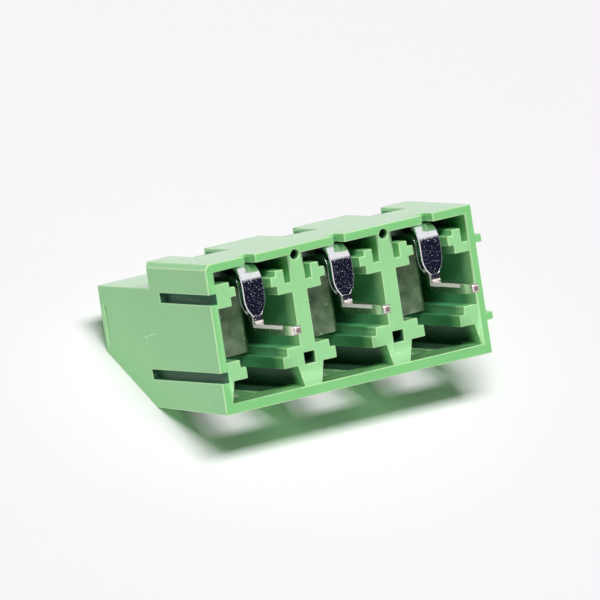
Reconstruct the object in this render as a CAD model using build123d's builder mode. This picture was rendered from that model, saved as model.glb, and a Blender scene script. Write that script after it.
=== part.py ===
import os

from build123d import *

# Three-pole screw terminal for a circuit board, with rising-cage clamps. Millimetres.
# Z points up from the board, -Y is the side the wires enter, and X runs along the poles.
# The origin is the middle of the row of solder pins, on the plane of the board.
# A depth or a size from_back is measured forwards from the back face.

# Poles
pole_count = 3
pitch = 7.5
back_to_pins = 5.18

# Housing, outside
body_depth = 10.7
body_height = 14.8
shelf_depth = 1.85
shelf_height = 8.2
land_front_depth = 7.2
brow_run = 0.2
brow_drop = 1.2
slope_foot_height = 9.1
front_draft = 0.25
back_corner_chamfer = 0.35

# Housing, walls
back_wall = 0.63
front_wall = 0.75
end_wall = 0.6
partition = 1.25
shelf_roof = 0.65
rim_step = 0.08

# Rear guide ribs: an L with a tab, on both sides of every cell
arm_gap = 0.5
arm_width = 0.7
tab_width = 0.45
arm_rear_depth = 1.52
tab_rear_depth = 1.92
tab_front_depth = 2.62
foot_rear_depth = 2.52
foot_front_depth = 3.25

# Front guide ribs, in two tiers, and the entry chamber in front of them
chamber_length = 1.5
front_tier_length = 0.83
rear_tier_length = 0.57
tier_step = 0.45
tier_relief = 0.05
chamber_rear_inset = 0.45
chamber_front_inset = 0.1
entry_roof_height = 9.3

# Wire entry windows
window_width = 4.8
window_sill = 2.5
window_top = 8.6
window_corner = 0.4

# Cage shafts and screw bores
roof_clear = 0.35
screw_seat = 0.6
shank_hole = 2.8
screw_bore = 3.6
bore_chamfer = 0.2

# Blind core holes in the partitions, and notches in the back rim
round_core = 0.7
round_core_from_back = 0.67
square_core_width = 0.9
square_core_length = 0.82
square_core_from_front = 2.68
core_depth = 4.0
notch_width = 0.9
notch_height = 1.15

# Tapered scoops in the back face
scoop_width = 2.8
scoop_reach = 3.5
scoop_sink = 0.45

# Interlock between neighbouring blocks: grooves in the +X end, ribs on the -X end
rear_groove_from_back = 2.5
rear_groove_height = 6.6
front_groove_from_front = 2.63
front_groove_height = 9.1
groove_width = 0.7
groove_sink = 0.55
interlock_play = 0.05

# Shallow half-moon recess near the top of the grooved end
moon_from_back = 4.65
moon_chord = 2.8
moon_sagitta = 0.9
moon_drop = 0.45
moon_sink = 0.1

# Contacts, each folded from one strip
sheet = 0.6
plate_side_play = 0.225
plate_foot = 2.0
plate_play = 0.08
bar_side_play = 0.175
bar_clear = 0.05
bar_inset = 0.4
bar_bend = 0.75
tail_width = 1.75
tail_height = 0.1
tail_bend = 1.1
neck_length = 0.7
neck_to_pin = 0.88
pin_width = 0.7
pin_length = 5.0
pin_bend = 0.6
pin_taper = 1.0
pin_tip_width = 0.58
pin_tip_chamfer = 0.12

# Cages
cage_play = 0.1
cage_rear_play = 0.08
cage_front_play = 0.22
rest_gap = 1.65
cage_side = 0.55
cage_floor = 0.6
cage_window = 3.25
cage_top = 1.4
cage_corner = 0.4
cage_inner_corner = 0.2
cage_lift = 1.5

# Clamping screws
thread = 2.5
thread_play = 0.05
tip_gap = 0.05
tip_chamfer = 0.3
head = 3.4
head_height = 1.4
head_chamfer = 0.25
head_clear = 0.05
slot_width = 0.6
slot_sink = 0.7
slot_angles = (20, 65, -30)

# Worked out
length = pole_count * pitch
back_face = back_to_pins
front_face = back_face - body_depth
inner_front = front_face + front_wall
pole_x = [(i - (pole_count - 1) / 2) * pitch for i in range(pole_count)]
partition_x = [(i - pole_count / 2) * pitch for i in range(1, pole_count)]
half_cell = (pitch - partition) / 2
shaft_half = half_cell - arm_gap - arm_width
tab_half = shaft_half - tab_width
tier_half = shaft_half + tier_relief
tier_front_depth = body_depth - front_wall - chamber_length
tier_step_depth = tier_front_depth - front_tier_length
tier_rear_depth = tier_step_depth - rear_tier_length
slot_roof = shelf_height - shelf_roof
bar_z = slot_roof - bar_clear - sheet / 2
cage_foot = bar_z - sheet / 2 - rest_gap - cage_floor
cage_height = cage_floor + cage_window + cage_top
shaft_roof_height = cage_foot + cage_height + cage_lift + roof_clear
cage_rear_depth = tab_front_depth + cage_rear_play
cage_front_depth = tier_step_depth - cage_front_play
past = 0.5


def back(depth):
    # The Y of what lies this far forwards of the back face
    return back_face - depth


cage_y = back((cage_rear_depth + cage_front_depth) / 2)


def both_sides(half):
    # A closed outline from its +X half, given from the back to the front
    return half + [(-x, y) for x, y in reversed(half)]


# Housing
side_outline = [
    (back_face, 0),
    (back_face, shelf_height),
    (back(shelf_depth), shelf_height),
    (back(shelf_depth), body_height),
    (back(land_front_depth), body_height),
    (back(land_front_depth + brow_run), body_height - brow_drop),
    (front_face + front_draft, slope_foot_height),
    (front_face, 0),
]
rear_half = [
    (half_cell, back(back_wall)),
    (half_cell, back(foot_rear_depth)),
    (half_cell - arm_gap, back(foot_rear_depth)),
    (half_cell - arm_gap, back(arm_rear_depth)),
    (shaft_half, back(arm_rear_depth)),
    (shaft_half, back(tab_rear_depth)),
    (tab_half, back(tab_rear_depth)),
    (tab_half, back(tab_front_depth)),
    (shaft_half, back(tab_front_depth)),
    (shaft_half, back(foot_front_depth)),
    (half_cell, back(foot_front_depth)),
]
front_half = [
    (half_cell, back(tier_rear_depth)),
    (tier_half, back(tier_rear_depth)),
    (tier_half, back(tier_step_depth)),
    (tier_half - tier_step, back(tier_step_depth)),
    (tier_half - tier_step, back(tier_front_depth)),
    (half_cell - chamber_rear_inset, back(tier_front_depth)),
    (half_cell - chamber_front_inset, inner_front),
]

with BuildPart() as housing:
    with BuildSketch(Plane.YZ.offset(-length / 2)):
        Polygon(*side_outline, align=None)
    extrude(amount=length)

    # The rear edges of the grooved end are broken by a chamfer
    grooved_end = housing.faces().sort_by(Axis.X)[-1]
    upright, ledge = grooved_end.edges().sort_by(Axis.Y)[-2:]
    chamfer([upright, ledge], back_corner_chamfer)

    # Cells, open to the board. Partitions and ribs stop a step short of the rim
    with BuildSketch(Plane.XY):
        with Locations((0, (back(back_wall) + inner_front) / 2)):
            Rectangle(length - 2 * end_wall, back(back_wall) - inner_front)
    extrude(amount=rim_step, mode=Mode.SUBTRACT)
    with BuildSketch(Plane.XY):
        with Locations(*[(x, 0) for x in pole_x]):
            Polygon(*both_sides(rear_half + front_half), align=None)
    extrude(amount=slot_roof, mode=Mode.SUBTRACT)

    # Above the contact's slot only the wire channel and the cage shaft go on
    with BuildSketch(Plane.XY.offset(slot_roof)):
        with Locations(*[(x, 0) for x in pole_x]):
            Polygon(*both_sides(front_half), align=None)
    extrude(amount=entry_roof_height - slot_roof, mode=Mode.SUBTRACT)
    with BuildSketch(Plane.XY.offset(slot_roof)):
        with Locations(*[(x, (back(tab_front_depth) + back(tier_step_depth)) / 2) for x in pole_x]):
            Rectangle(2 * shaft_half, tier_step_depth - tab_front_depth)
    extrude(amount=shaft_roof_height - slot_roof, mode=Mode.SUBTRACT)

    # Screw bores, with a seat under each head
    seat_height = shaft_roof_height + screw_seat
    with BuildSketch(Plane.XY.offset(shaft_roof_height)):
        with Locations(*[(x, cage_y) for x in pole_x]):
            Circle(shank_hole / 2)
    extrude(amount=screw_seat, mode=Mode.SUBTRACT)
    with BuildSketch(Plane.XY.offset(seat_height)):
        with Locations(*[(x, cage_y) for x in pole_x]):
            Circle(screw_bore / 2)
    extrude(amount=body_height - seat_height + past, mode=Mode.SUBTRACT)
    with BuildSketch(Plane.XY.offset(body_height)):
        with Locations(*[(x, cage_y) for x in pole_x]):
            Circle(screw_bore / 2 + bore_chamfer)
    extrude(amount=-bore_chamfer, taper=45, mode=Mode.SUBTRACT)

    # Wire entry windows
    window_height = window_top - window_sill
    with BuildSketch(Plane.XZ.offset(-inner_front - past)):
        with Locations(*[(x, window_sill + window_height / 2) for x in pole_x]):
            RectangleRounded(window_width, window_height, window_corner)
    extrude(amount=front_wall + 2 * past, mode=Mode.SUBTRACT)

    # Notches in the back rim, one at each pole
    with BuildSketch(Plane.XY):
        with Locations(*[(x, back(back_wall / 2)) for x in pole_x]):
            Rectangle(notch_width, back_wall + past)
    extrude(amount=notch_height, mode=Mode.SUBTRACT)

    # Scoops in the back face, deepest at the shelf
    for x in pole_x:
        with BuildSketch(Plane.YZ.offset(x)):
            Polygon(
                (back_face, shelf_height - scoop_reach),
                (back(scoop_sink), shelf_height),
                (back_face, shelf_height),
                align=None,
            )
        extrude(amount=scoop_width / 2, both=True, mode=Mode.SUBTRACT)

    # Blind core holes in the partitions
    with BuildSketch(Plane.XY):
        with Locations(*[(x, back(round_core_from_back)) for x in partition_x]):
            Circle(round_core / 2)
        with Locations(*[(x, front_face + square_core_from_front) for x in partition_x]):
            Rectangle(square_core_width, square_core_length)
    extrude(amount=core_depth, mode=Mode.SUBTRACT)

    # The rear rib beside the groove has no gap behind its arm
    with BuildSketch(Plane.XY.offset(rim_step)):
        with Locations((length / 2 - partition / 2 - arm_gap / 2, back((arm_rear_depth + foot_rear_depth) / 2))):
            Rectangle(arm_gap, foot_rear_depth - arm_rear_depth)
    extrude(amount=slot_roof - rim_step)

    # Interlock, grooves in one end and ribs that fit them on the other
    rib_reach = groove_sink - interlock_play
    for groove_y, height in (
        (back(rear_groove_from_back), rear_groove_height),
        (front_face + front_groove_from_front, front_groove_height),
    ):
        with BuildSketch(Plane.XY):
            with Locations((length / 2 - groove_sink / 2, groove_y)):
                Rectangle(groove_sink, groove_width)
        extrude(amount=height, mode=Mode.SUBTRACT)
        with BuildSketch(Plane.XY):
            with Locations((-length / 2 - rib_reach / 2, groove_y)):
                Rectangle(rib_reach, groove_width - 2 * interlock_play)
        extrude(amount=height - interlock_play)

    # Half-moon recess near the top of the grooved end
    with BuildSketch(Plane.YZ.offset(length / 2)):
        with BuildLine():
            moon_y = back(moon_from_back)
            moon_z = body_height - moon_drop
            chord = Line((moon_y - moon_chord / 2, moon_z), (moon_y + moon_chord / 2, moon_z))
            ThreePointArc(chord @ 0, (moon_y, moon_z - moon_sagitta), chord @ 1)
        make_face()
    extrude(amount=-moon_sink, mode=Mode.SUBTRACT)

# Contacts
cage_width = 2 * (shaft_half - cage_play)
bar_width = cage_width - 2 * (cage_side + bar_side_play)
bar_front = back(cage_front_depth - bar_inset)
plate_width = 2 * (half_cell - plate_side_play)
plate_y = back(back_wall + plate_play + sheet / 2)
tail_z = tail_height + sheet / 2
neck_end = neck_to_pin
neck_start = neck_end + neck_length
taper_z = pin_taper - pin_length


def make_contact(x):
    # Bar through the cage, wide plate behind it, tail along the board side, solder pin
    with BuildPart() as contact:
        with BuildSketch(Plane.YZ.offset(x)):
            with BuildLine():
                FilletPolyline(
                    (bar_front, bar_z), (plate_y, bar_z), (plate_y, plate_foot), radius=bar_bend
                )
            trace(line_width=sheet)
        extrude(amount=bar_width / 2, both=True)

        with BuildSketch(Plane.XY.offset(plate_foot)):
            with Locations((x, plate_y)):
                Rectangle(plate_width, sheet)
        extrude(amount=bar_z - bar_bend - plate_foot)

        with BuildSketch(Plane.YZ.offset(x)):
            with BuildLine():
                FilletPolyline((plate_y, plate_foot), (plate_y, tail_z), (neck_end, tail_z), radius=tail_bend)
            trace(line_width=sheet)
        extrude(amount=tail_width / 2, both=True)
        with BuildSketch(Plane.XY.offset(tail_height)):
            for side in (1, -1):
                Polygon(
                    (x + side * tail_width / 2, neck_start),
                    (x + side * pin_width / 2, neck_end),
                    (x + side * tail_width / 2, neck_end),
                    align=None,
                )
        extrude(amount=sheet, mode=Mode.SUBTRACT)

        with BuildSketch(Plane.YZ.offset(x)):
            with BuildLine():
                FilletPolyline((neck_end, tail_z), (0, tail_z), (0, taper_z), radius=pin_bend)
            trace(line_width=pin_width)
        extrude(amount=pin_width / 2, both=True)
        for z, width in ((taper_z, pin_width), (-pin_length, pin_tip_width)):
            with BuildSketch(Plane.XY.offset(z)):
                with Locations((x, 0)):
                    Rectangle(width, width)
        loft()
        pin_tip = contact.faces().sort_by(Axis.Z)[0]
        chamfer(pin_tip.edges(), pin_tip_chamfer)
    return contact


# Cages
cage_length = cage_front_depth - cage_rear_depth


def make_cage(x):
    # A square loop the wire passes through, its thick top threaded for the screw
    with BuildPart() as cage:
        with BuildSketch(Plane.XZ.offset(-cage_y - cage_length / 2)):
            with Locations((x, cage_foot + cage_height / 2)):
                RectangleRounded(cage_width, cage_height, cage_corner)
            with Locations((x, cage_foot + cage_floor + cage_window / 2)):
                RectangleRounded(
                    cage_width - 2 * cage_side, cage_window, cage_inner_corner, mode=Mode.SUBTRACT
                )
        extrude(amount=cage_length)
        with BuildSketch(Plane.XY.offset(cage_foot + cage_height - cage_top)):
            with Locations((x, cage_y)):
                Circle(thread / 2 + thread_play)
        extrude(amount=cage_top, mode=Mode.SUBTRACT)
    return cage


# Clamping screws
screw_tip = bar_z + sheet / 2 + tip_gap
head_bottom = shaft_roof_height + screw_seat + head_clear


def make_screw(x, slot_angle):
    # Slotted cheese-head screw whose tip bears on the contact's bar
    with BuildPart() as screw:
        with BuildSketch(Plane.XY.offset(screw_tip)):
            with Locations((x, cage_y)):
                Circle(thread / 2)
        extrude(amount=head_bottom - screw_tip)
        chamfer(screw.edges().sort_by(Axis.Z)[0], tip_chamfer)
        with BuildSketch(Plane.XY.offset(head_bottom)):
            with Locations((x, cage_y)):
                Circle(head / 2)
        extrude(amount=head_height)
        chamfer(screw.faces().sort_by(Axis.Z)[-1].edges(), head_chamfer)
        with BuildSketch(Plane.XY.offset(head_bottom + head_height - slot_sink)):
            with Locations(Location((x, cage_y, 0), (0, 0, slot_angle))):
                Rectangle(head + past, slot_width)
        extrude(amount=slot_sink, mode=Mode.SUBTRACT)
    return screw


def save(piece, label):
    piece.part.label = label
    export_step(piece.part, f"parts/{label}.step")


os.makedirs("parts", exist_ok=True)
save(housing, "housing")
for number, x in enumerate(reversed(pole_x), start=1):
    save(make_contact(x), f"contact_{number}")
    save(make_cage(x), f"cage_{number}")
    save(make_screw(x, slot_angles[(number - 1) % len(slot_angles)]), f"screw_{number}")
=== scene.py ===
import math

import bmesh
import bpy
from mathutils import Matrix, Vector


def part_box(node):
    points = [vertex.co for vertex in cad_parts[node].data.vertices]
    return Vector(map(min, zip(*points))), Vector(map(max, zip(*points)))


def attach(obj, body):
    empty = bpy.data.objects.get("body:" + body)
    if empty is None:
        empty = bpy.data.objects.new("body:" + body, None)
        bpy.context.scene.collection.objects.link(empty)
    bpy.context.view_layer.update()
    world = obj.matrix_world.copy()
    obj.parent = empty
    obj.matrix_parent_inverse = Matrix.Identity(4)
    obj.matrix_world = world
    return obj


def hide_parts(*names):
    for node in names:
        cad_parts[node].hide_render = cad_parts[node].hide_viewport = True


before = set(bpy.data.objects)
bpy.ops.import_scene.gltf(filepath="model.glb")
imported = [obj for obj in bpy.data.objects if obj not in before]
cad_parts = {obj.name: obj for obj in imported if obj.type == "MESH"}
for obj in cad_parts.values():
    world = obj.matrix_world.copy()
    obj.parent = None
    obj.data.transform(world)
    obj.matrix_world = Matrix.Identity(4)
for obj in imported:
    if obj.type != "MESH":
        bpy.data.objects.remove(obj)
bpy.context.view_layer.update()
mm = 0.001
poleX = {1: 7.5, 2: 0.0, 3: -7.5}  # mm along the row, pole 1 at the grooved end
weld = 0.0005  # mm, corners nearer than this are one
near = 0.01    # mm, corners nearer than this to a plane are on it
flat = 0.5     # degrees, faces that turn by less than this are one
print("frame loaded:", len(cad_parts), "nodes")


def linearColour(hexText):  # sRGB hex, as picked from a swatch, to the linear colour a shader takes
    parts = [int(hexText[i:i + 2], 16) / 255 for i in (1, 3, 5)]
    return tuple(c / 12.92 if c < 0.04045 else ((c + 0.055) / 1.055) ** 2.4 for c in parts) + (1.0,)


def addNode(tree, kind, settings=None, links=None):  # a socket goes by its name, or by its place where names repeat
    node = tree.nodes.new(kind)
    for name, value in (settings or {}).items():
        if isinstance(name, int) or name in node.inputs:
            node.inputs[name].default_value = value
        else:
            setattr(node, name, value)
    for name, source in (links or {}).items():
        tree.links.new(source, node.inputs[name])
    return node


def newMaterial(name):
    material = bpy.data.materials.new(name)
    material.use_nodes = True
    material.node_tree.nodes.clear()
    return material, material.node_tree


def millimetres(tree):  # object coordinates in mm, so a texture scale is one over a real size
    place = addNode(tree, "ShaderNodeTexCoord")
    return addNode(tree, "ShaderNodeMapping", {"Scale": (1 / mm,) * 3}, {"Vector": place.outputs["Object"]}).outputs[0]


def insideBoxes(tree, axes, boxes):  # 1 inside any of the boxes, which give their ranges along X, Y and Z in mm
    inside = None
    for box in boxes:
        share = None
        for axis, (low, high) in zip("XYZ", box):
            within = addNode(
                tree, "ShaderNodeMath", {"operation": "COMPARE", 1: (low + high) / 2, 2: (high - low) / 2},
                {0: axes.outputs[axis]},
            )
            share = within if share is None else addNode(
                tree, "ShaderNodeMath", {"operation": "MULTIPLY"}, {0: share.outputs[0], 1: within.outputs[0]}
            )
        inside = share if inside is None else addNode(
            tree, "ShaderNodeMath", {"operation": "MAXIMUM"}, {0: inside.outputs[0], 1: share.outputs[0]}
        )
    return inside.outputs[0]


# Housing: polyamide 66, injection moulded and left as it comes from a finely eroded tool. It gives a satin green with
# a pale sheen where it is seen flat, a darker colour painted down in the cells as painted shade, and thin pale lines
# of painted highlight along the rounded edges
polyamideLook = {
    "rim": "#95e293",
    "rimShade": "#8cd98a",
    # partition: paler, partly the faces' own finish and partly a painted sheen
    "partition": "#a7e8a3",
    # edge: painted highlight, the thin pale line laid on the rounded edges
    "edge": "#c1f2b2",
    "roughness": (0.28, 0.36),
    "cellRoughness": 0.5,
    "ior": 1.53,
    "skin": 0.7,                # share of the glossier moulding skin
    "skinRoughness": 0.16,
    "cloudSize": 5.0,           # mm, slow drift of the colour
    "grainSize": 0.11,          # mm, eroded tool texture, drawn about three times too coarse to show
    "grainBump": (0.03, 0.02),  # strength, and height in mm
    "noiseRange": (0.3, 0.7),   # where nearly all of a noise's values lie
    "speckle": 0.3,             # how far the grain shifts the colour
    "partitionAt": (0.08, 0.05),  # mm above the rim, and how near to that counts
    "throughLight": 0.1,
    "throughReach": 0.6,        # mm
    "throughSpread": (0.5, 1.0, 0.5),  # red, green and blue shares of that reach
    # Painted shade: darker colours laid where shade falls in the cells, chambers, grooves and cores, where each lies
    # in mm, and the heights over which it comes in
    "depths": {
        "cell": {  # the sills under the windows catch the light and are left out
            "colour": "#4b9a63",
            "boxes": (
                ((-10.66, 10.66), (-4.7, 4.93), (-6, 8.0)),
                ((-10.66, 10.66), (-4.7, 3.28), (-6, 9.2)),
                ((-10.66, 10.66), (-5.2, -4.7), (2.55, 9.2)),
            ),
            "ramp": ("SMOOTHSTEP", 0.25, 1.7),
        },
        "chamber": {
            "colour": "#27593b",
            "boxes": (((-10.66, 10.66), (-4.7, -3.24), (-6, 9.2)), ((-10.66, 10.66), (-5.2, -4.7), (2.55, 9.2))),
            "ramp": ("SMOOTHSTEP", 0.25, 1.7),
        },
        "groove": {
            "colour": "#2a6e48",
            "boxes": (((10.66, 11.2), (2.3, 3.06), (-6, 6.7)), ((10.66, 11.2), (-3.27, -2.51), (-6, 9.2))),
            "ramp": None,
        },
        "core": {
            "colour": "#1d4a34",
            "boxes": (
                ((3.37, 4.13), (4.13, 4.89), (-6, 4.1)),
                ((-4.13, -3.37), (4.13, 4.89), (-6, 4.1)),
                ((3.25, 4.25), (-3.34, -2.34), (-6, 4.1)),
                ((-4.25, -3.25), (-3.34, -2.34), (-6, 4.1)),
            ),
            "ramp": ("LINEAR", 0.08, 0.5),
        },
    },
    # Handling marks on the grooved end: middle and half size along Y and Z in mm, turn in degrees and colour
    "marks": (
        (-0.03, 8.38, 0.045, 0.87, 11, "#d6f5cf"),
        (-0.2, 9.2, 0.1, 0.17, -35, "#dcf7d6"),
        (1.2, 7.55, 0.85, 0.022, 0, "#aedfab"),
    ),
    "markAt": (11.25, 0.3),  # mm, the end's X and how deep a mark reaches
    "markStrength": 0.85,
}


def markShare(tree, place, look, mark):  # a thin ellipse that fades out over the outer half of its reach
    y, z, halfY, halfZ, turn, colour = mark
    end, depth = look["markAt"]
    own = addNode(
        tree, "ShaderNodeMapping",
        {
            "vector_type": "TEXTURE", "Location": (end, y, z), "Rotation": (math.radians(turn), 0, 0),
            "Scale": (depth, halfY, halfZ),
        },
        {"Vector": place},
    )
    far = addNode(tree, "ShaderNodeVectorMath", {"operation": "LENGTH"}, {0: own.outputs[0]}).outputs["Value"]
    return addNode(
        tree, "ShaderNodeMapRange", {"From Min": 1.0, "From Max": 0.5, "To Max": look["markStrength"]}, {"Value": far}
    ).outputs[0]


def mouldedPolyamide(look):
    material, tree = newMaterial("mouldedPolyamide")
    place = millimetres(tree)
    least, most = look["noiseRange"]
    cloud = addNode(tree, "ShaderNodeTexNoise", {"Scale": 1 / look["cloudSize"], "Detail": 3.0}, {"Vector": place})
    grain = addNode(tree, "ShaderNodeTexNoise", {"Scale": 1 / look["grainSize"], "Detail": 2.0}, {"Vector": place})
    speckle = addNode(
        tree, "ShaderNodeMapRange",
        {"From Min": least, "From Max": most, "To Min": -look["speckle"], "To Max": look["speckle"]},
        {"Value": grain.outputs["Fac"]},
    )
    drift = addNode(
        tree, "ShaderNodeMath", {"operation": "ADD", "use_clamp": True},
        {0: cloud.outputs["Fac"], 1: speckle.outputs[0]},
    )
    body = addNode(
        tree, "ShaderNodeMix",
        {"data_type": "RGBA", 6: linearColour(look["rimShade"]), 7: linearColour(look["rim"])}, {0: drift.outputs[0]},
    )
    # The faces of partitions and ribs lie a step above the rim, and face the board. They are painted paler, partly
    # their own finish and partly a painted sheen
    axes = addNode(tree, "ShaderNodeSeparateXYZ", None, {0: place})
    height, slack = look["partitionAt"]
    step = addNode(
        tree, "ShaderNodeMath", {"operation": "COMPARE", 1: height, 2: slack}, {0: axes.outputs["Z"]}
    )
    green = addNode(
        tree, "ShaderNodeMix",
        {"data_type": "RGBA", 7: linearColour(look["partition"])}, {0: step.outputs[0], 6: body.outputs[2]},
    )
    inside = None
    # Lay each painted shade over the colour; inside gathers where they lie, and also sets the coat and roughness
    for depth in look["depths"].values():
        share = insideBoxes(tree, axes, depth["boxes"])
        if depth["ramp"]:
            shape, start, full = depth["ramp"]
            down = addNode(
                tree, "ShaderNodeMapRange", {"interpolation_type": shape, "From Min": start, "From Max": full},
                {"Value": axes.outputs["Z"]},
            )
            share = addNode(
                tree, "ShaderNodeMath", {"operation": "MULTIPLY"}, {0: share, 1: down.outputs[0]}
            ).outputs[0]
        green = addNode(
            tree, "ShaderNodeMix", {"data_type": "RGBA", 7: linearColour(depth["colour"])},
            {0: share, 6: green.outputs[2]},
        )
        inside = share if inside is None else addNode(
            tree, "ShaderNodeMath", {"operation": "MAXIMUM"}, {0: inside, 1: share}
        ).outputs[0]
    for mark in look["marks"]:
        green = addNode(
            tree, "ShaderNodeMix", {"data_type": "RGBA", 7: linearColour(mark[-1])},
            {0: markShare(tree, place, look, mark), 6: green.outputs[2]},
        )
    skin = addNode(tree, "ShaderNodeMapRange", {"To Min": look["skin"], "To Max": 0.0}, {"Value": inside})
    # Painted highlight: pale lines on the rounded edges, kept out of the cells
    edgeHighlightFaces = addNode(tree, "ShaderNodeAttribute", {"attribute_name": "edgeHighlightShare"})
    paintedEdgeHighlight = addNode(
        tree, "ShaderNodeMath", {"operation": "SUBTRACT", "use_clamp": True}, {0: edgeHighlightFaces.outputs["Fac"], 1: inside}
    )
    green = addNode(
        tree, "ShaderNodeMix", {"data_type": "RGBA", 7: linearColour(look["edge"])},
        {0: paintedEdgeHighlight.outputs[0], 6: green.outputs[2]},
    )
    smoothest, roughest = look["roughness"]
    sheen = addNode(
        tree, "ShaderNodeMapRange",
        {"From Min": least, "From Max": most, "To Min": smoothest, "To Max": roughest},
        {"Value": cloud.outputs["Fac"]},
    )
    rough = addNode(tree, "ShaderNodeMix", {3: look["cellRoughness"]}, {0: inside, 2: sheen.outputs[0]})
    strength, height = look["grainBump"]
    bump = addNode(
        tree, "ShaderNodeBump", {"Strength": strength, "Distance": height * mm}, {"Height": grain.outputs["Fac"]}
    )
    shader = addNode(
        tree, "ShaderNodeBsdfPrincipled",
        {
            "IOR": look["ior"],
            "Coat Roughness": look["skinRoughness"],
            "Subsurface Weight": look["throughLight"],
            "Subsurface Radius": look["throughSpread"],
            "Subsurface Scale": look["throughReach"] * mm,
        },
        {
            "Base Color": green.outputs[2], "Roughness": rough.outputs[0], "Normal": bump.outputs[0],
            "Coat Weight": skin.outputs[0],
        },
    )
    addNode(tree, "ShaderNodeOutputMaterial", None, {"Surface": shader.outputs[0]})
    return material


# Contacts: copper alloy strip, bright tin plated. The tail mirrors what is round it, with pits that glint. The pins
# are dipped as well, which leaves them warmer and softer, and up in the housing the tin is rougher and painted dark as
# painted shade
tinLook = {
    # Colour and roughness of each part of the finish
    "bright": ("#e4e6e8", 0.09),
    # rougher tin up in the housing, with a dark colour that is painted shade
    "dullAndShaded": ("#54575a", 0.34),
    "dipped": ("#f1e8e5", 0.17),
    "pit": (None, 0.48),
    "paintedHighlight": ("#fff7f3", 0.4),    # painted highlight: a white band, matt and not metal, along the upper edges of neck and pin
    "cut": ("#c6b0ac", 0.45),    # the sheared ends of the pins show the copper alloy
    "paintedHighlightMetal": 0.0,
    "paintedHighlightBoxes": (((-12, 12), (0.07, 0.335), (-3.55, 0.33)), ((-12, 12), (0.3, 0.98), (0.13, 0.33))),  # mm
    "cutAt": -4.96,              # mm
    "dippedTo": (0.72, 0.98),    # mm behind the pin's middle, where the dip fades
    "shadeFrom": (1.15, 1.6),     # mm above the board, where the rougher tin and its painted shade come in
    "pitSize": 0.09,             # mm, plating pits, drawn twice too large to show
    "pitShare": (0.65, 0.69),    # of the noise's range, where a pit begins and is full
    "peelSize": 0.3,             # mm, waves left by rolling
    "peelBump": (0.12, 0.01),    # strength, and height in mm
}


def brightTin(look):
    material, tree = newMaterial("brightTin")
    place = millimetres(tree)
    axes = addNode(tree, "ShaderNodeSeparateXYZ", None, {0: place})
    whole, gone = look["dippedTo"]
    pin = addNode(
        tree, "ShaderNodeMapRange", {"From Min": gone, "From Max": whole}, {"Value": axes.outputs["Y"]}
    )
    # Up in the housing: rougher tin, darkened as painted shade
    low, high = look["shadeFrom"]
    inner = addNode(tree, "ShaderNodeMapRange", {"From Min": low, "From Max": high}, {"Value": axes.outputs["Z"]})
    dipped = addNode(
        tree, "ShaderNodeMath", {"operation": "SUBTRACT", "use_clamp": True}, {0: pin.outputs[0], 1: inner.outputs[0]}
    )
    peel = addNode(tree, "ShaderNodeTexNoise", {"Scale": 1 / look["peelSize"], "Detail": 3.0}, {"Vector": place})
    pits = addNode(tree, "ShaderNodeTexNoise", {"Scale": 1 / look["pitSize"], "Detail": 1.0}, {"Vector": place})
    begins, full = look["pitShare"]
    pit = addNode(
        tree, "ShaderNodeMapRange", {"From Min": begins, "From Max": full}, {"Value": pits.outputs["Fac"]}
    )
    # Painted highlight: where the white band lies on neck and pin
    paintedHighlight = insideBoxes(tree, axes, look["paintedHighlightBoxes"])
    cut = addNode(tree, "ShaderNodeMath", {"operation": "LESS_THAN", 1: look["cutAt"]}, {0: axes.outputs["Z"]})
    brightColour, brightRough = look["bright"]
    paintedShadeColour, dullRough = look["dullAndShaded"]
    colour = addNode(
        tree, "ShaderNodeMix",
        {"data_type": "RGBA", 6: linearColour(brightColour), 7: linearColour(paintedShadeColour)}, {0: inner.outputs[0]},
    )
    rough = addNode(tree, "ShaderNodeMix", {2: brightRough, 3: dullRough}, {0: inner.outputs[0]})
    shares = {"dipped": dipped.outputs[0], "pit": pit.outputs[0], "paintedHighlight": paintedHighlight, "cut": cut.outputs[0]}
    for part, share in shares.items():
        partColour, partRough = look[part]
        if partColour:
            colour = addNode(
                tree, "ShaderNodeMix", {"data_type": "RGBA", 7: linearColour(partColour)},
                {0: share, 6: colour.outputs[2]},
            )
        rough = addNode(tree, "ShaderNodeMix", {3: partRough}, {0: share, 2: rough.outputs[0]})
    metal = addNode(tree, "ShaderNodeMapRange", {"To Min": 1.0, "To Max": look["paintedHighlightMetal"]}, {"Value": paintedHighlight})
    strength, height = look["peelBump"]
    bump = addNode(
        tree, "ShaderNodeBump", {"Strength": strength, "Distance": height * mm}, {"Height": peel.outputs["Fac"]}
    )
    shader = addNode(
        tree, "ShaderNodeBsdfPrincipled", None,
        {
            "Base Color": colour.outputs[2], "Roughness": rough.outputs[0], "Metallic": metal.outputs[0],
            "Normal": bump.outputs[0],
        },
    )
    addNode(tree, "ShaderNodeOutputMaterial", None, {"Surface": shader.outputs[0]})
    return material


# Cages: steel strip, nickel plated in a barrel. It gives a mottled satin grey with short bright scuffs, and its darker
# mottle is tinted green as a painted reflection of the green housing round it
nickelLook = {
    "light": "#fdfbe6",
    # dark: mottle colour, tinted green as a painted reflection of the housing
    "dark": "#5f6a55",
    "scuff": "#f2f1ea",
    "roughness": (0.3, 0.5),
    "mottleSize": 0.9,              # mm, patches that rub in the barrel
    "scuffSize": (0.5, 0.5, 0.09),  # mm, long across the strip, drawn about three times too wide to show
    "scuffShare": (0.62, 0.68),     # of the noise's range, where a scuff begins and is full
    "scuffBump": (0.4, 0.03),       # strength, and height in mm
    "grainSize": 0.12,              # mm, plating grain, drawn several times too coarse to show
    "grainBump": (0.3, 0.01),
}


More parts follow.
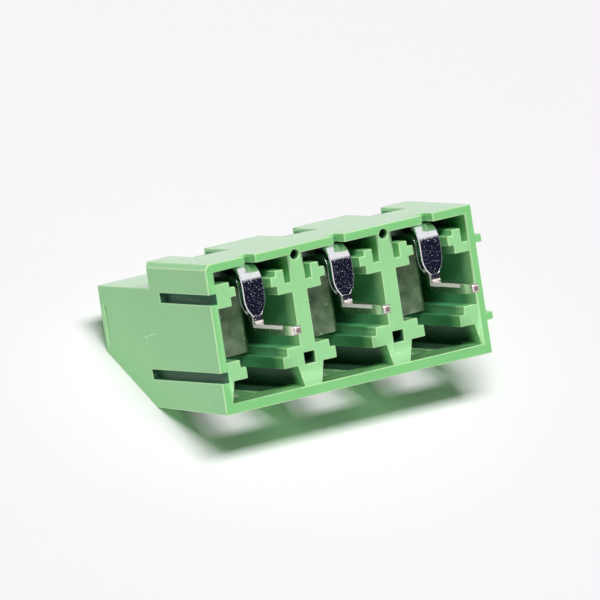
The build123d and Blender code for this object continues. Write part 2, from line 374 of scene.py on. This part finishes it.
def barrelNickel(look):
    material, tree = newMaterial("barrelNickel")
    place = millimetres(tree)
    mottle = addNode(tree, "ShaderNodeTexNoise", {"Scale": 1 / look["mottleSize"], "Detail": 4.0}, {"Vector": place})
    colour = addNode(
        tree, "ShaderNodeMix",
        {"data_type": "RGBA", 6: linearColour(look["dark"]), 7: linearColour(look["light"])},
        {0: mottle.outputs["Fac"]},
    )
    drawn = addNode(
        tree, "ShaderNodeMapping", {"Scale": tuple(1 / size for size in look["scuffSize"])}, {"Vector": place}
    )
    marks = addNode(tree, "ShaderNodeTexNoise", {"Scale": 1.0, "Detail": 3.0}, {"Vector": drawn.outputs[0]})
    begins, full = look["scuffShare"]
    scuffed = addNode(
        tree, "ShaderNodeMapRange", {"From Min": begins, "From Max": full}, {"Value": marks.outputs["Fac"]}
    )
    colour = addNode(
        tree, "ShaderNodeMix", {"data_type": "RGBA", 7: linearColour(look["scuff"])},
        {0: scuffed.outputs[0], 6: colour.outputs[2]},
    )
    smoothest, roughest = look["roughness"]
    rough = addNode(
        tree, "ShaderNodeMapRange", {"To Min": smoothest, "To Max": roughest}, {"Value": mottle.outputs["Fac"]}
    )
    grain = addNode(tree, "ShaderNodeTexNoise", {"Scale": 1 / look["grainSize"], "Detail": 2.0}, {"Vector": place})
    strength, height = look["grainBump"]
    fine = addNode(
        tree, "ShaderNodeBump", {"Strength": strength, "Distance": height * mm}, {"Height": grain.outputs["Fac"]}
    )
    strength, height = look["scuffBump"]
    bump = addNode(
        tree, "ShaderNodeBump", {"Strength": strength, "Distance": height * mm},
        {"Height": marks.outputs["Fac"], "Normal": fine.outputs[0]},
    )
    shader = addNode(
        tree, "ShaderNodeBsdfPrincipled", {"Metallic": 1.0},
        {"Base Color": colour.outputs[2], "Roughness": rough.outputs[0], "Normal": bump.outputs[0]},
    )
    addNode(tree, "ShaderNodeOutputMaterial", None, {"Surface": shader.outputs[0]})
    return material


# Screws: cold headed steel, zinc plated and clear passivated. It gives a bright grey with fine lathe rings
zincLook = {
    "colour": "#c2c6ca",
    "roughness": (0.28, 0.48),
    "ringSpacing": 0.09,       # mm, lathe feed, drawn about twice too coarse to show
    "ringBump": (0.35, 0.05),  # strength, and height in mm
    "grainSize": 0.1,          # mm, plating grain, drawn several times too coarse to show
    "grainBump": (0.25, 0.01),
    "axes": (7.5, 0.13),       # mm, spacing of the screws along X, and their Y
}


def clearZinc(look):
    material, tree = newMaterial("clearZinc")
    place = millimetres(tree)
    grain = addNode(tree, "ShaderNodeTexNoise", {"Scale": 1 / look["grainSize"], "Detail": 3.0}, {"Vector": place})
    smoothest, roughest = look["roughness"]
    rough = addNode(
        tree, "ShaderNodeMapRange", {"To Min": smoothest, "To Max": roughest}, {"Value": grain.outputs["Fac"]}
    )
    # Rings round the nearest screw's own axis
    spacing, middle = look["axes"]
    axes = addNode(tree, "ShaderNodeSeparateXYZ", None, {0: place})
    across = addNode(
        tree, "ShaderNodeMath", {"operation": "WRAP", 1: spacing / 2, 2: -spacing / 2}, {0: axes.outputs["X"]}
    )
    along = addNode(tree, "ShaderNodeMath", {"operation": "SUBTRACT", 1: middle}, {0: axes.outputs["Y"]})
    centred = addNode(tree, "ShaderNodeCombineXYZ", None, {0: across.outputs[0], 1: along.outputs[0]})
    radius = addNode(tree, "ShaderNodeVectorMath", {"operation": "LENGTH"}, {0: centred.outputs[0]})
    ring = addNode(
        tree, "ShaderNodeMath", {"operation": "PINGPONG", 1: look["ringSpacing"] / 2}, {0: radius.outputs["Value"]}
    )
    strength, height = look["ringBump"]
    turned = addNode(
        tree, "ShaderNodeBump", {"Strength": strength, "Distance": height * mm}, {"Height": ring.outputs[0]}
    )
    strength, height = look["grainBump"]
    bump = addNode(
        tree, "ShaderNodeBump", {"Strength": strength, "Distance": height * mm},
        {"Height": grain.outputs["Fac"], "Normal": turned.outputs[0]},
    )
    shader = addNode(
        tree, "ShaderNodeBsdfPrincipled", {"Base Color": linearColour(look["colour"]), "Metallic": 1.0},
        {"Roughness": rough.outputs[0], "Normal": bump.outputs[0]},
    )
    addNode(tree, "ShaderNodeOutputMaterial", None, {"Surface": shader.outputs[0]})
    return material


polyamide = mouldedPolyamide(polyamideLook)
tin = brightTin(tinLook)
nickel = barrelNickel(nickelLook)
zinc = clearZinc(zincLook)
print("materials made")


def meshInMillimetres(node, cuts):  # the node's shape in mm, its triangles joined into flat faces
    shape = bmesh.new()
    shape.from_mesh(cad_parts[node].data)
    bmesh.ops.scale(shape, vec=(1 / mm,) * 3, verts=shape.verts)
    bmesh.ops.remove_doubles(shape, verts=shape.verts, dist=weld)
    for axis, place in cuts:  # a cut through each hole, or the flat face round it couldn't be one face
        through = Vector([place if i == axis else 0 for i in range(3)])
        across = Vector([1 if i == axis else 0 for i in range(3)])
        made = bmesh.ops.bisect_plane(
            shape, geom=shape.verts[:] + shape.edges[:] + shape.faces[:], dist=weld, plane_co=through, plane_no=across
        )
        for part in made["geom_cut"]:
            if isinstance(part, bmesh.types.BMEdge):
                part.seam = True
    bmesh.ops.dissolve_limit(
        shape, angle_limit=math.radians(flat), verts=shape.verts, edges=shape.edges, use_dissolve_boundaries=False,
        delimit={"SEAM"},
    )
    return shape


def roundOuterEdges(shape, form):  # the new faces get material 1, which finishPiece turns into the share that takes the painted edge highlight
    outer = [
        edge for edge in shape.edges
        if edge.is_convex and edge.calc_face_angle(0) > math.radians(form["angle"])
        and not any(all(abs(v.co[axis] - at) < near for v in edge.verts) for axis, at in form.get("keep", ()))
    ]
    bmesh.ops.bevel(
        shape, geom=outer, offset=form["width"], segments=form["segments"], profile=0.5, affect="EDGES",
        clamp_overlap=False, miter_outer="ARC", material=1,
    )


def finishPiece(name, shape, body, material, replaced):  # from a shape in mm to a piece in the row's frame
    rough = bpy.data.meshes.new(name + "Rough")
    shape.to_mesh(rough)
    shape.free()
    for face in rough.polygons:
        face.use_smooth = True
    maker = bpy.data.objects.new(name + "Maker", rough)
    bpy.context.scene.collection.objects.link(maker)
    weigh = maker.modifiers.new("flats", "WEIGHTED_NORMAL")
    weigh.keep_sharp = True
    ready = maker.evaluated_get(bpy.context.evaluated_depsgraph_get())
    mesh = bpy.data.meshes.new_from_object(ready)
    mesh.transform(Matrix.Scale(mm, 4))
    edgeHighlightShare = mesh.attributes.new("edgeHighlightShare", "FLOAT", "FACE")
    edgeHighlightShare.data.foreach_set("value", [float(face.material_index > 0) for face in mesh.polygons])
    mesh.materials.clear()
    mesh.materials.append(material)
    for face in mesh.polygons:
        face.material_index = 0
    bpy.data.objects.remove(maker)
    piece = bpy.data.objects.new(name, mesh)
    bpy.context.scene.collection.objects.link(piece)
    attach(piece, body)
    if replaced:
        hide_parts(replaced)
    return piece


# Housing
housingForm = {
    "width": 0.07, "segments": 2, "angle": 25,  # mm, and degrees from which an edge is rounded
    "cuts": ((0, 7.5), (0, 3.75), (0, 0), (0, -3.75), (0, -7.5), (2, 13.95)),  # axis and mm
    "keep": ((0, 10.65), (0, 10.7)),  # the thin walls behind the grooves have no room for rounded edges
}


def shapeHousing(form):
    moulding = meshInMillimetres("housing", form["cuts"])
    roundOuterEdges(moulding, form)
    housing = finishPiece("mouldedHousing", moulding, "block", polyamide, "housing")
    print("housing done:", len(housing.data.polygons), "faces")


shapeHousing(housingForm)

# Contacts, their tails blanked with round shoulders and their pins rolled round at the corners
contactForm = {
    "width": 0.05, "segments": 2, "angle": 25,
    "halfTail": 0.875, "shoulderAt": 1.58, "tailTop": 1.9,  # mm
    "halfPin": 0.35, "pinTo": 0.9, "pinTop": 1, "tailFrom": 0.87,
    "slack": 0.02,     # mm, how near to the tail's sides and shoulders an edge has to lie
    "pinTaper": 0.07,  # mm, how far the pin's corners draw in towards its tip
    # Radius in mm, segments, and degrees from which an edge is rounded
    "shoulder": (0.5, 6, 20),
    "tailRim": (0.1, 3, 60),
    "pinCorner": (0.2, 4, 60),
}


def roundOff(shape, chosen, rounding):
    radius, segments, sharp = rounding
    edges = [
        edge for edge in shape.edges
        if chosen([v.co for v in edge.verts]) and edge.calc_face_angle(0) > math.radians(sharp)
    ]
    bmesh.ops.bevel(
        shape, geom=edges, offset=radius, segments=segments, profile=0.5, affect="EDGES", clamp_overlap=True
    )
    return len(edges)


def shapeContact(number, x, form):
    strip = meshInMillimetres(f"contact_{number}", ())
    slack, pinEnd = form["slack"], form["pinTo"]
    shoulders = roundOff(
        strip,
        lambda ends: all(
            abs(at.y - form["shoulderAt"]) < slack and abs(abs(at.x - x) - form["halfTail"]) < slack for at in ends
        ),
        form["shoulder"],
    )
    rims = roundOff(
        strip,
        lambda ends: all(at.y > form["tailFrom"] and at.z < form["tailTop"] for at in ends)
        and any(at.y > pinEnd + near for at in ends),
        form["tailRim"],
    )
    corners = roundOff(
        strip,
        lambda ends: all(
            at.y < pinEnd and at.z < form["pinTop"] and abs(abs(at.x - x) - form["halfPin"]) < form["pinTaper"]
            for at in ends
        ),
        form["pinCorner"],
    )
    roundOuterEdges(strip, form)
    finishPiece(f"contactStrip{number}", strip, "block", tin, f"contact_{number}")
    print("contact", number, "rounded edges:", shoulders + rims, "at the tail,", corners, "at the pin")


for number, x in poleX.items():
    shapeContact(number, x, contactForm)
print("contacts done")

# Cages
cageForm = {"width": 0.06, "segments": 2, "angle": 25}
for number, x in poleX.items():
    loop = meshInMillimetres(f"cage_{number}", ((0, x),))
    roundOuterEdges(loop, cageForm)
    finishPiece(f"cage{number}", loop, f"cage_{number}", nickel, f"cage_{number}")
print("cages done")

# Screws: the head is the CAD's, and the shank gets its M2.5 thread
screwForm = {
    "width": 0.05, "segments": 2, "angle": 25,
    "middle": 0.13, "head": 1.4, "tip": 0.95,  # mm
    "pitch": 0.45, "crest": 1.245, "root": 0.99, "sides": 32,
    "profile": ((0.0, "root"), (0.15, "root"), (0.5, "crest"), (0.62, "crest")),  # share of the pitch
    "intoHead": 0.05,  # mm, so head and shank meet with no gap
}


def threadedShank(x, low, high, form):  # rows that climb one pitch a turn, held level at both ends
    shank = bmesh.new()
    sides, profile = form["sides"], form["profile"]
    turns = math.ceil((high - low) / form["pitch"]) + 1
    rows = []
    for j in range((turns + 1) * len(profile)):
        share, reach = profile[j % len(profile)]
        row = []
        for i in range(sides):
            z = low + form["pitch"] * (j // len(profile) + share + i / sides - 1)
            z = min(max(z, low), high)
            radius = min(form[reach], form["tip"] + z - low)
            angle = 2 * math.pi * i / sides
            row.append(shank.verts.new((x + radius * math.cos(angle), form["middle"] + radius * math.sin(angle), z)))
        rows.append(row)
    for j in range(len(rows) - len(profile) - 1):
        for i in range(sides):
            last = i == sides - 1
            after, turn = (0, len(profile)) if last else (i + 1, 0)
            corners = (rows[j][i], rows[j + turn][after], rows[j + turn + 1][after], rows[j + 1][i])
            shank.faces.new(corners)
    bmesh.ops.remove_doubles(shank, verts=shank.verts, dist=weld)
    bmesh.ops.holes_fill(shank, edges=[edge for edge in shank.edges if edge.is_boundary], sides=0)
    bmesh.ops.recalc_face_normals(shank, faces=shank.faces)
    return shank


def shapeScrew(number, x, form):
    body = f"screw_{number}"
    lowest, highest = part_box(body)
    tip, under = lowest[2] / mm, highest[2] / mm - form["head"]
    head = meshInMillimetres(body, ((0, x),))
    cut = bmesh.ops.bisect_plane(
        head, geom=head.verts[:] + head.edges[:] + head.faces[:], dist=weld, plane_co=(0, 0, under + near),
        plane_no=(0, 0, 1), clear_inner=True,
    )
    rim = [part for part in cut["geom_cut"] if isinstance(part, bmesh.types.BMEdge)]
    bmesh.ops.contextual_create(head, geom=rim)
    roundOuterEdges(head, form)
    finishPiece(f"screwHead{number}", head, body, zinc, body)
    thread = threadedShank(x, tip, under + form["intoHead"], form)
    shank = finishPiece(f"screwShank{number}", thread, body, zinc, None)
    print("screw", number, "shank faces:", len(shank.data.polygons))


for number, x in poleX.items():
    shapeScrew(number, x, screwForm)
print("screws done")


# Floor: the block lies on the slope of its front, so the floor is that plane
floorForm = {
    "up": Vector((0, 0.828, -0.5607)).normalized(),
    "touch": Vector((0, -5.27, 9.1)),  # mm, foot of the slope
    "gap": 0.02,
    "reach": 400,  # mm each way
    "colour": "#fefbfe",
}


def paleFloor(form):  # its back and the rays to the lamps pass through, so no view and no lamp is blocked
    material, tree = newMaterial("palePaper")
    surface = addNode(tree, "ShaderNodeBsdfDiffuse", {"Color": linearColour(form["colour"])})
    clear = addNode(tree, "ShaderNodeBsdfTransparent")
    side = addNode(tree, "ShaderNodeNewGeometry")
    path = addNode(tree, "ShaderNodeLightPath")
    through = addNode(
        tree, "ShaderNodeMath", {"operation": "MAXIMUM"},
        {0: path.outputs["Is Shadow Ray"], 1: side.outputs["Backfacing"]},
    )
    mix = addNode(
        tree, "ShaderNodeMixShader", None, {0: through.outputs[0], 1: surface.outputs[0], 2: clear.outputs[0]}
    )
    addNode(tree, "ShaderNodeOutputMaterial", None, {"Surface": mix.outputs[0]})
    sheet = bmesh.new()
    bmesh.ops.create_grid(sheet, x_segments=1, y_segments=1, size=form["reach"] * mm)
    mesh = bpy.data.meshes.new("floor")
    sheet.to_mesh(mesh)
    sheet.free()
    mesh.materials.append(material)
    floor = bpy.data.objects.new("floor", mesh)
    bpy.context.scene.collection.objects.link(floor)
    floor.location = (form["touch"] - form["gap"] * form["up"]) * mm
    floor.rotation_mode = "QUATERNION"
    floor.rotation_quaternion = form["up"].to_track_quat("Z", "Y")


paleFloor(floorForm)


# Light: a wide softbox high behind the camera's left, and a soft sun for the sides that turn away from it
keyBox = {
    "towards": Vector((0.14, 0.67, -0.73)),
    "distance": 4000,     # mm
    "size": (2500, 940),  # mm along the row and across it
    "level": 3.2,         # light that reaches the block, as a sun's strength
}
lowLamp = {
    "towards": Vector((-0.6, -0.5, 0.62)),
    "distance": 1000,     # mm, only where it is drawn
    "strength": 0.9,
    "width": 50,          # degrees
}


def placeLamp(data, lamp):  # its z axis points away from the block, its x axis along the row
    holder = bpy.data.objects.new(data.name, data)
    bpy.context.scene.collection.objects.link(holder)
    back = lamp["towards"].normalized()
    side = (Vector((1, 0, 0)) - back.x * back).normalized()
    turn = Matrix((side, back.cross(side), back)).transposed().to_4x4()
    holder.matrix_world = Matrix.Translation(back * lamp["distance"] * mm) @ turn


def addSoftbox(lamp):
    data = bpy.data.lights.new("keyBox", "AREA")
    data.shape = "RECTANGLE"
    data.size, data.size_y = lamp["size"][0] * mm, lamp["size"][1] * mm
    data.energy = lamp["level"] * math.pi * (lamp["distance"] * mm) ** 2
    placeLamp(data, lamp)


def addSun(lamp):
    data = bpy.data.lights.new("lowLamp", "SUN")
    data.energy, data.angle = lamp["strength"], math.radians(lamp["width"])
    placeLamp(data, lamp)


addSoftbox(keyBox)
addSun(lowLamp)

# The room: white all round, with the dark behind the camera that bright metal mirrors
roomLook = {
    "white": "#fdfcfe",
    "dark": "#1d1f33",
    "ambient": 0.04,
    "darkTowards": Vector((-0.522, -0.131, -0.843)),
    "darkInside": 21,   # degrees
    "darkOutside": 37,
}


def paleRoom(look):
    world = bpy.data.worlds.new("paleRoom")
    bpy.context.scene.world = world
    world.use_nodes = True
    tree = world.node_tree
    tree.nodes.clear()
    place = addNode(tree, "ShaderNodeTexCoord")
    toDark = addNode(
        tree, "ShaderNodeVectorMath", {"operation": "DOT_PRODUCT", 1: look["darkTowards"]},
        {0: place.outputs["Generated"]},
    )
    dark = addNode(
        tree, "ShaderNodeMapRange",
        {
            "interpolation_type": "SMOOTHSTEP",
            "From Min": math.cos(math.radians(look["darkOutside"])),
            "From Max": math.cos(math.radians(look["darkInside"])),
        },
        {"Value": toDark.outputs["Value"]},
    )
    mirrored = addNode(
        tree, "ShaderNodeMix",
        {"data_type": "RGBA", 6: linearColour(look["white"]), 7: linearColour(look["dark"])}, {0: dark.outputs[0]},
    )
    path = addNode(tree, "ShaderNodeLightPath")
    seen = addNode(tree, "ShaderNodeBackground", {"Color": linearColour(look["white"])})
    gloss = addNode(tree, "ShaderNodeBackground", None, {"Color": mirrored.outputs[2]})
    soft = addNode(tree, "ShaderNodeBackground", {"Color": linearColour(look["white"]), "Strength": look["ambient"]})
    direct = addNode(
        tree, "ShaderNodeMath", {"operation": "MAXIMUM"},
        {0: path.outputs["Is Camera Ray"], 1: path.outputs["Is Transmission Ray"]},
    )
    first = addNode(
        tree, "ShaderNodeMixShader", None, {0: path.outputs["Is Glossy Ray"], 1: soft.outputs[0], 2: gloss.outputs[0]}
    )
    both = addNode(
        tree, "ShaderNodeMixShader", None, {0: direct.outputs[0], 1: first.outputs[0], 2: seen.outputs[0]}
    )
    addNode(tree, "ShaderNodeOutputWorld", None, {"Surface": both.outputs[0]})


paleRoom(roomLook)
print("floor, lamps and room done")


# Camera: far away with a long lens, below the block's own base, as the photograph has it lie on its front
cameraView = {
    "aim": Vector((3.1165, 1.0821, 1.2939)),  # mm
    "along": Vector((-0.52183, -0.1307, 0.84298)),
    "up": Vector((-0.19512, 0.98028, 0.0312)),
    "distance": 981.4,
    "lens": 840,
    "sensor": 36,
    "clip": (0.1, 5),  # metres
}


def placeCamera(view):
    data = bpy.data.cameras.new("camera")
    data.lens, data.sensor_width = view["lens"], view["sensor"]
    data.clip_start, data.clip_end = view["clip"]
    camera = bpy.data.objects.new("camera", data)
    bpy.context.scene.collection.objects.link(camera)
    along = view["along"].normalized()
    right = along.cross(view["up"]).normalized()
    up = right.cross(along)
    turn = Matrix((right, up, -along)).transposed().to_4x4()
    camera.matrix_world = Matrix.Translation((view["aim"] - view["distance"] * along) * mm) @ turn
    bpy.context.scene.camera = camera


placeCamera(cameraView)
bpy.context.scene.view_settings.view_transform = "Standard"
